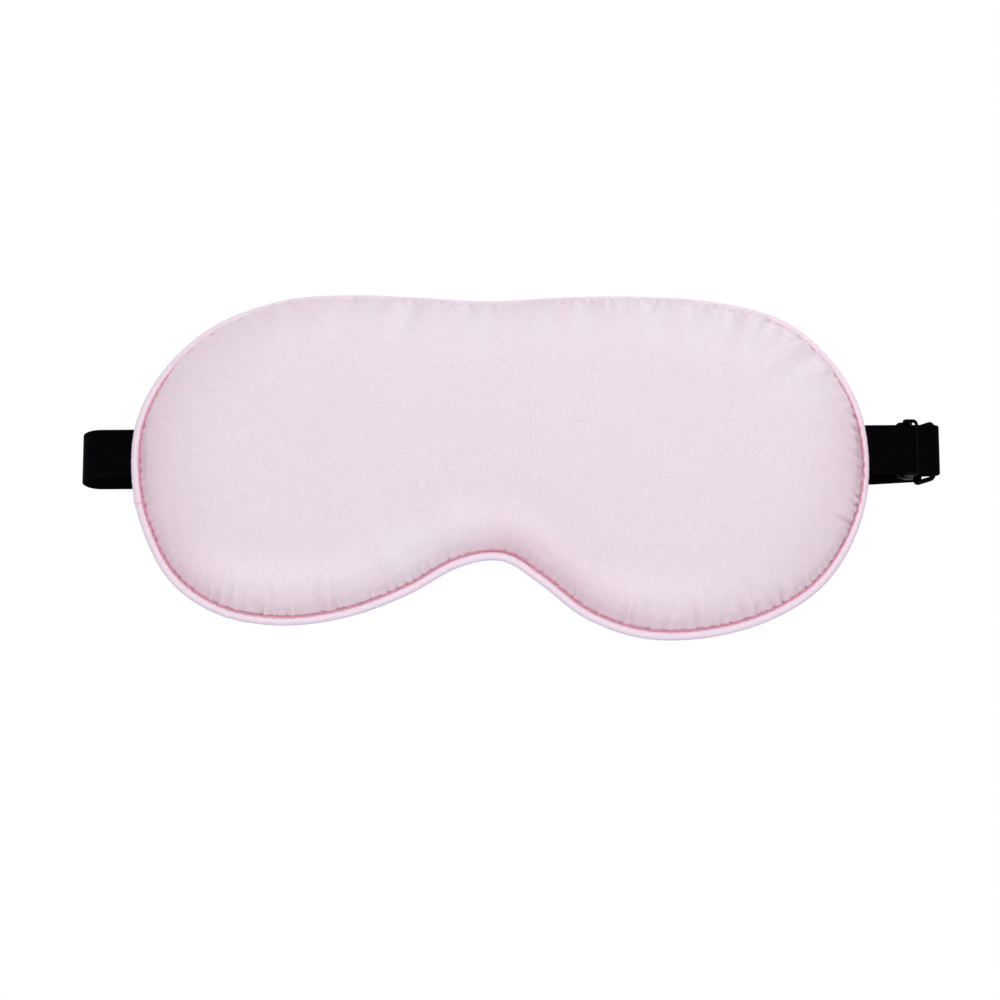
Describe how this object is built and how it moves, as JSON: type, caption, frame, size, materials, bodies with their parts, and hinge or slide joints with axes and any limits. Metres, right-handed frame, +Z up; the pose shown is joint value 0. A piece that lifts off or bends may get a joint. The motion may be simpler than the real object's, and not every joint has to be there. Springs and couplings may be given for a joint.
{
  "type": "sleep mask",
  "caption": "Padded satin sleep mask with a piped edge, nose arch and an adjustable elastic head strap with ring and slider.",
  "frame": {"origin": "middle of the mask's back, where it lies on the wearer's face", "axes": "+X to the right of someone looking at the mask's front, +Y out of the mask's back towards the head, +Z up"},
  "size_m": [0.2462, 0.023, 0.1045],
  "materials": {
    "satin": "pale pink satin with a soft sheen",
    "piping": "pale pink satin cut on the bias",
    "wadding": "soft fibre filling",
    "blackout": "matte black cloth",
    "cotton_cord": "twisted cotton",
    "rose_thread": "rose sewing thread",
    "black_elastic": "ribbed woven elastic",
    "black_thread": "black sewing thread",
    "black_plastic": "smooth moulded black plastic"
  },
  "bodies": {
    "mask": {"front_cover": "satin", "back_cover": "satin", "front_padding": "wadding", "back_padding": "wadding", "blackout_lining": "blackout", "piping_cover": "piping", "piping_cord": "cotton_cord", "seam_thread": "rose_thread", "strap_left_lead": "black_elastic", "strap_left_turn": "black_elastic", "strap_right_side": "black_elastic", "short_strap": "black_elastic"},
    "back_strap": {"strap_back_run": "black_elastic"},
    "ring_and_loop": {"ring": "black_plastic", "strap_ring_loop": "black_elastic", "strap_ring_tack": "black_thread"},
    "adjuster": {"slider": "black_plastic", "slider_tack": "black_thread"}
  },
  "joints": [
    {"name": "strap_stretch", "type": "slide", "parent": "mask", "child": "back_strap", "axis": [0, 1, 0], "range_m": [0, 0.1], "stiffness_N_per_m": 40, "deforming": ["strap_left_turn", "strap_right_side"]},
    {"name": "slider_slide", "type": "slide", "parent": "mask", "child": "adjuster", "axis": [1, 0, 0], "range_m": [-0.0055, 0.001], "deforming": ["short_strap"]},
    {"name": "ring_slide", "type": "slide", "parent": "mask", "child": "ring_and_loop", "axis": [1, 0, 0], "range_m": [-0.00275, 0.0005], "deforming": ["short_strap", "strap_right_side"]}
  ],
  "couplings": [
    {"joint": "ring_slide", "follows": "slider_slide", "ratio": 0.5}
  ]
}
